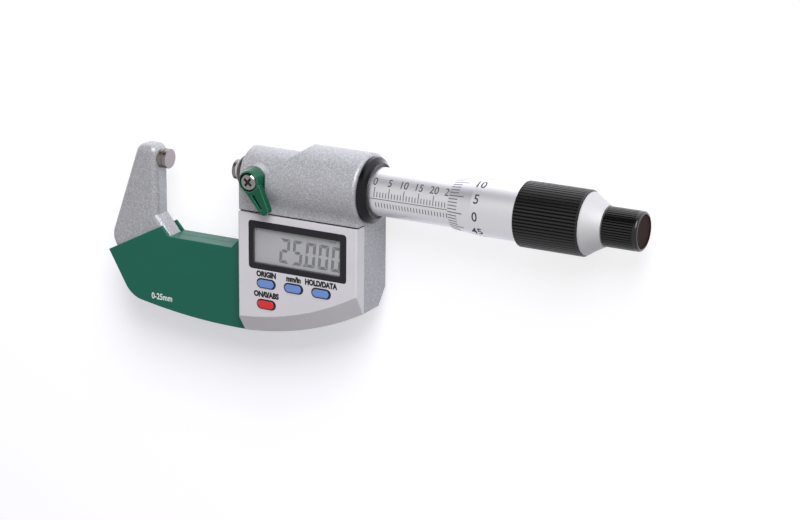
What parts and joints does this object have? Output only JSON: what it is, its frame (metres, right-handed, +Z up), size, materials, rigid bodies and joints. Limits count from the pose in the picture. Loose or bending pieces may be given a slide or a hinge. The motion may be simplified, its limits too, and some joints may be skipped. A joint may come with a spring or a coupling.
{
  "type": "digital outside micrometer",
  "caption": "Digital outside micrometer with a C-shaped frame, friction thimble, spindle lock lever, display housing with push buttons and a screw-in battery door.",
  "frame": {"origin": "centre of the anvil's measuring face", "axes": "+X along the spindle from the anvil to the knob, +Y from the bow of the frame towards the spindle, +Z out of the display; it lies on its back, so +Z is up"},
  "size_m": [0.1845, 0.0621, 0.0256],
  "materials": {
    "frame_paint": "hammered silver-grey enamel",
    "ground_steel": "ground",
    "hard_tip": "lapped",
    "dark_steel": "blackened",
    "satin_chrome": "satin",
    "cap_metal": "satin",
    "grip_black": "matt",
    "knob_dark": "semi-gloss",
    "disc_brown": "satin",
    "spring_steel": "spring steel",
    "seal_rubber": "matt",
    "strip_rubber": "matt",
    "brass": "turned",
    "contact_brass": "stamped",
    "nickel": "nickel plated",
    "lever_green": "semi-gloss",
    "cover_green": "smooth matt",
    "housing_grey": "fine matt",
    "bezel_black": "gloss",
    "lcd_grey": "satin",
    "board_green": "solder resist",
    "key_blue": "satin",
    "key_red": "satin",
    "cell_steel": "plain",
    "door_black": "matt",
    "window_clear": "clear gloss"
  },
  "bodies": {
    "base": {"frame": "frame_paint", "anvil": "ground_steel", "anvil_tip": "hard_tip", "spindle_bush": "dark_steel", "spindle_seal": "seal_rubber", "guide_sleeve": "ground_steel", "adjusting_nut": "dark_steel", "scale_sleeve": "satin_chrome", "sleeve_collar": "dark_steel", "encoder_stator": "board_green", "front_cover": "cover_green", "rear_cover": "cover_green", "cover_screw_1": "nickel", "cover_screw_2": "nickel", "cover_screw_3": "nickel", "display_housing": "housing_grey", "housing_gasket": "seal_rubber", "housing_screw_1": "nickel", "housing_screw_2": "nickel", "housing_screw_3": "nickel", "housing_screw_4": "nickel", "window_bezel": "bezel_black", "display_window": "window_clear", "lcd_panel": "lcd_grey", "lcd_strip_1": "strip_rubber", "lcd_strip_2": "strip_rubber", "circuit_board": "board_green", "key_mat": "strip_rubber", "battery": "cell_steel", "battery_contact": "contact_brass", "battery_clip": "contact_brass"},
    "rotor": {"encoder_rotor": "board_green", "rotor_bush": "brass", "rotor_key": "ground_steel"},
    "thimble_group": {"spindle": "ground_steel", "spindle_tip": "hard_tip", "thimble": "satin_chrome", "thimble_grip": "grip_black", "thimble_seal": "seal_rubber", "setting_cap": "cap_metal", "stop_screw": "dark_steel", "stop_spring": "spring_steel"},
    "stop_group": {"stop_knob": "knob_dark", "stop_disc": "disc_brown"},
    "lock_group": {"lock_lever": "lever_green", "lock_screw": "nickel", "lock_shaft": "ground_steel"},
    "lock_pad": {"lock_pad": "brass"},
    "origin_button": {"origin_button": "key_blue"},
    "unit_button": {"unit_button": "key_blue"},
    "hold_button": {"hold_button": "key_blue"},
    "power_button": {"power_button": "key_red"},
    "battery_seal": {"battery_seal": "seal_rubber"},
    "battery_door": {"battery_door": "door_black"}
  },
  "joints": [
    {"name": "thimble_turn", "type": "hinge", "parent": "base", "child": "rotor", "pos_m": [0.0605, 0, 0], "axis": [1, 0, 0], "range_deg": [-17995.5, 0.5]},
    {"name": "spindle_feed", "type": "slide", "parent": "rotor", "child": "thimble_group", "axis": [1, 0, 0], "range_m": [-0.02499, 0]},
    {"name": "stop_slip", "type": "hinge", "parent": "thimble_group", "child": "stop_group", "pos_m": [0.157, 0, 0], "axis": [1, 0, 0], "continuous": true},
    {"name": "lock_turn", "type": "hinge", "parent": "base", "child": "lock_group", "pos_m": [0.0377, 0.0007, 0.012], "axis": [0, 0, 1], "range_deg": [-70.1, 0.1]},
    {"name": "lock_press", "type": "slide", "parent": "base", "child": "lock_pad", "axis": [0, 0, 1], "range_m": [-0.0001, 0]},
    {"name": "origin_press", "type": "slide", "parent": "base", "child": "origin_button", "axis": [0, 0, -1], "range_m": [0, 0.0005], "stiffness_N_per_m": 400, "springref_m": -0.0005},
    {"name": "unit_press", "type": "slide", "parent": "base", "child": "unit_button", "axis": [0, 0, -1], "range_m": [0, 0.0005], "stiffness_N_per_m": 400, "springref_m": -0.0005},
    {"name": "hold_press", "type": "slide", "parent": "base", "child": "hold_button", "axis": [0, 0, -1], "range_m": [0, 0.0005], "stiffness_N_per_m": 400, "springref_m": -0.0005},
    {"name": "power_press", "type": "slide", "parent": "base", "child": "power_button", "axis": [0, 0, -1], "range_m": [0, 0.0005], "stiffness_N_per_m": 400, "springref_m": -0.0005},
    {"name": "door_lift", "type": "slide", "parent": "base", "child": "battery_seal", "axis": [0, 0, -1], "range_m": [0, 0.003]},
    {"name": "door_turn", "type": "hinge", "parent": "battery_seal", "child": "battery_door", "pos_m": [0.0524, -0.0265, -0.01], "axis": [0, 0, -1], "range_deg": [-0.5, 1080.5]}
  ],
  "couplings": [
    {"joint": "thimble_turn", "follows": "spindle_feed", "rad_per_m": 12566},
    {"joint": "lock_turn", "follows": "lock_press", "rad_per_m": 12217},
    {"joint": "door_turn", "follows": "door_lift", "rad_per_m": 6283.2}
  ]
}
